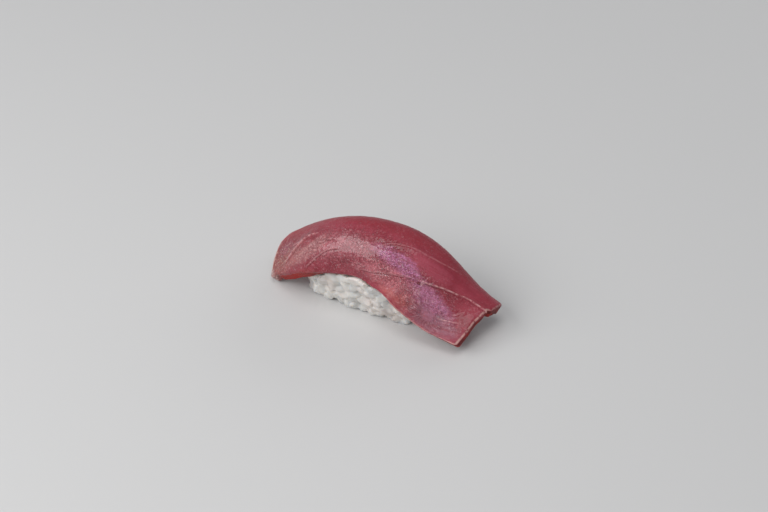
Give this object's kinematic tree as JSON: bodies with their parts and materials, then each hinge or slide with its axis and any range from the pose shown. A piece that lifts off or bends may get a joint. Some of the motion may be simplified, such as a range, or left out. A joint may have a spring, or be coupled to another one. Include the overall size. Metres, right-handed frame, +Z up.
{
  "type": "tuna nigiri",
  "caption": "Slice of raw red tuna draped over a hand-pressed ball of rice, standing on the flat underside of the rice.",
  "frame": {"origin": "middle of the underside of the whole piece's box, on the surface it stands on", "axes": "+X along the length of the slice, from its left tip that comes down to the table to its cut right end; +Z up; -Y towards the side on which the slice hangs lowest"},
  "size_m": [0.0816, 0.032, 0.0315],
  "materials": {
    "raw_tuna": "moist raw tuna, rose red with a soft sheen, slightly translucent at the edges, fine pale sinew lines",
    "cooked_rice": "cooked short-grain rice, off-white, moist and slightly translucent"
  },
  "bodies": {
    "root": {"tuna_slice": "raw_tuna", "rice": "cooked_rice"}
  },
  "joints": []
}
